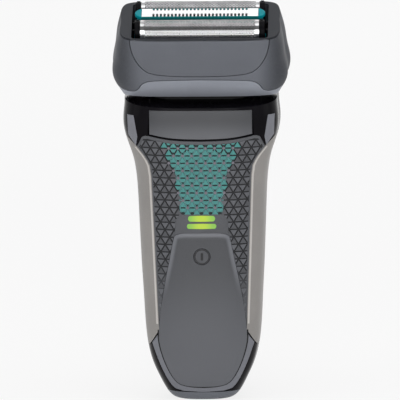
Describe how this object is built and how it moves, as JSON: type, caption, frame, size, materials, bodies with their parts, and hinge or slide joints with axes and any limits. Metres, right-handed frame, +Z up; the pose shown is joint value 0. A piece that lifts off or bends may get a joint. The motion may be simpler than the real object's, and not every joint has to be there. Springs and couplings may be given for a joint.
{
  "type": "foil shaver",
  "caption": "Cordless foil shaver: tilting head with arched foils and a centre trimmer on a tapered handle, with a swing-out detail trimmer behind.",
  "frame": {"origin": "middle of the shaver's width and depth, on the plane of its flat foot", "axes": "+Z up the handle towards the foils, -Y is the front with the power button, +X to the right seen from the front"},
  "size_m": [0.0695, 0.0452, 0.1571],
  "materials": {
    "gloss_black": "gloss",
    "panel_grey": "satin",
    "head_grey": "satin metallic paint",
    "champagne": "satin metallic paint",
    "silver_trim": "satin metallic paint",
    "teal": "gloss",
    "steel": "polished",
    "black_plastic": "matte",
    "soft_black": "matte",
    "light": "glowing",
    "clear": "frosted",
    "board_green": "solder mask",
    "nickel": "bright",
    "brass": "bright",
    "cell_wrap": "shrink wrap",
    "zinc": "plain",
    "white_plastic": "satin"
  },
  "bodies": {
    "handle": {"front_housing": "gloss_black", "rear_housing": "gloss_black", "grip_panel": "panel_grey", "thumb_panel": "panel_grey", "name_plate": "panel_grey", "side_grip_left": "champagne", "side_grip_right": "champagne", "shoulder_inlay_left": "silver_trim", "shoulder_inlay_right": "silver_trim", "lower_trim": "silver_trim", "bottom_cap": "head_grey", "light_bars": "light", "light_guide": "clear", "power_switch": "black_plastic", "circuit_board": "board_green", "status_leds": "white_plastic", "battery_cell": "cell_wrap", "battery_ribs": "black_plastic", "battery_tabs": "nickel", "charging_socket": "black_plastic", "socket_pins": "brass", "motor_can": "zinc", "motor_screws": "zinc", "neck_yoke": "black_plastic", "neck_seal": "soft_black", "pivot_pins": "steel", "housing_screws": "zinc", "trimmer_bay": "black_plastic", "detail_trimmer_pin": "steel"},
    "rotor": {"motor_shaft": "steel", "eccentric": "white_plastic"},
    "power_key": {"power_button": "panel_grey"},
    "detail_arm": {"detail_trimmer_arm": "gloss_black", "detail_trimmer_comb": "steel"},
    "detail_blade": {"detail_trimmer_blade": "steel"},
    "detail_release": {"trimmer_slide_button": "head_grey"},
    "head_base_body": {"head_base": "head_grey", "head_chassis": "black_plastic", "bridge_rails": "steel"},
    "release_left": {"release_button_left": "head_grey"},
    "release_right": {"release_button_right": "head_grey"},
    "oscillator": {"oscillator_bridge": "white_plastic", "cutter_springs": "steel"},
    "front_cutter_block": {"front_cutter": "steel"},
    "rear_cutter_block": {"rear_cutter": "steel"},
    "centre_blade": {"trimmer_blade": "steel"},
    "shaving_head": {"head_shell": "head_grey", "head_front_panel": "head_grey", "head_bezel": "head_grey", "foil_guide": "black_plastic"},
    "front_foil_cassette": {"front_foil": "steel", "front_foil_frame": "black_plastic"},
    "rear_foil_cassette": {"rear_foil": "steel", "rear_foil_frame": "black_plastic"},
    "centre_trimmer": {"trimmer_cradle": "teal", "trimmer_comb": "steel"}
  },
  "joints": [
    {"name": "head_pivot", "type": "hinge", "parent": "handle", "child": "head_base_body", "pos_m": [0, 0.00257, 0.124], "axis": [1, 0, 0], "range_deg": [-9, 9], "stiffness_Nm_per_rad": 0.4},
    {"name": "head_lift_off", "type": "slide", "parent": "head_base_body", "child": "shaving_head", "axis": [0, -0.2924, 0.9563], "range_m": [0, 0.034]},
    {"name": "release_left_press", "type": "slide", "parent": "head_base_body", "child": "release_left", "axis": [1, 0, 0], "range_m": [0, 0.0012], "stiffness_N_per_m": 1200},
    {"name": "release_right_press", "type": "slide", "parent": "head_base_body", "child": "release_right", "axis": [-1, 0, 0], "range_m": [0, 0.0012], "stiffness_N_per_m": 1200},
    {"name": "bridge_stroke", "type": "slide", "parent": "head_base_body", "child": "oscillator", "axis": [1, 0, 0], "range_m": [-0.0009, 0.0009], "stiffness_N_per_m": 600},
    {"name": "front_foil_float", "type": "slide", "parent": "shaving_head", "child": "front_foil_cassette", "axis": [0, -0.2924, 0.9563], "range_m": [-0.0015, 0], "stiffness_N_per_m": 500, "springref_m": 0.001},
    {"name": "rear_foil_float", "type": "slide", "parent": "shaving_head", "child": "rear_foil_cassette", "axis": [0, -0.2924, 0.9563], "range_m": [-0.0015, 0], "stiffness_N_per_m": 500, "springref_m": 0.001},
    {"name": "centre_trimmer_float", "type": "slide", "parent": "shaving_head", "child": "centre_trimmer", "axis": [0, -0.2924, 0.9563], "range_m": [-0.001, 0], "stiffness_N_per_m": 500, "springref_m": 0.001},
    {"name": "front_cutter_float", "type": "slide", "parent": "oscillator", "child": "front_cutter_block", "axis": [0, -0.2924, 0.9563], "range_m": [-0.0015, 0]},
    {"name": "rear_cutter_float", "type": "slide", "parent": "oscillator", "child": "rear_cutter_block", "axis": [0, -0.2924, 0.9563], "range_m": [-0.0015, 0]},
    {"name": "centre_blade_float", "type": "slide", "parent": "oscillator", "child": "centre_blade", "axis": [0, -0.2924, 0.9563], "range_m": [-0.001, 0]},
    {"name": "motor_spin", "type": "hinge", "parent": "handle", "child": "rotor", "pos_m": [0, 0.00257, 0.11], "axis": [0, 0, 1], "continuous": true},
    {"name": "power_press", "type": "slide", "parent": "handle", "child": "power_key", "axis": [0, 1, 0], "range_m": [0, 0.0006], "stiffness_N_per_m": 1500},
    {"name": "detail_trimmer_swing", "type": "hinge", "parent": "handle", "child": "detail_arm", "pos_m": [0, 0.01947, 0.076], "axis": [-1, 0, 0], "range_deg": [0, 65]},
    {"name": "detail_blade_stroke", "type": "slide", "parent": "detail_arm", "child": "detail_blade", "axis": [1, 0, 0], "range_m": [-0.0008, 0.0008]},
    {"name": "detail_release_slide", "type": "slide", "parent": "handle", "child": "detail_release", "axis": [0, 0, 1], "range_m": [0, 0.004]}
  ],
  "couplings": [
    {"joint": "front_cutter_float", "follows": "front_foil_float", "ratio": 1},
    {"joint": "rear_cutter_float", "follows": "rear_foil_float", "ratio": 1},
    {"joint": "centre_blade_float", "follows": "centre_trimmer_float", "ratio": 1},
    {"joint": "detail_blade_stroke", "follows": "bridge_stroke", "ratio": 0.88889}
  ]
}
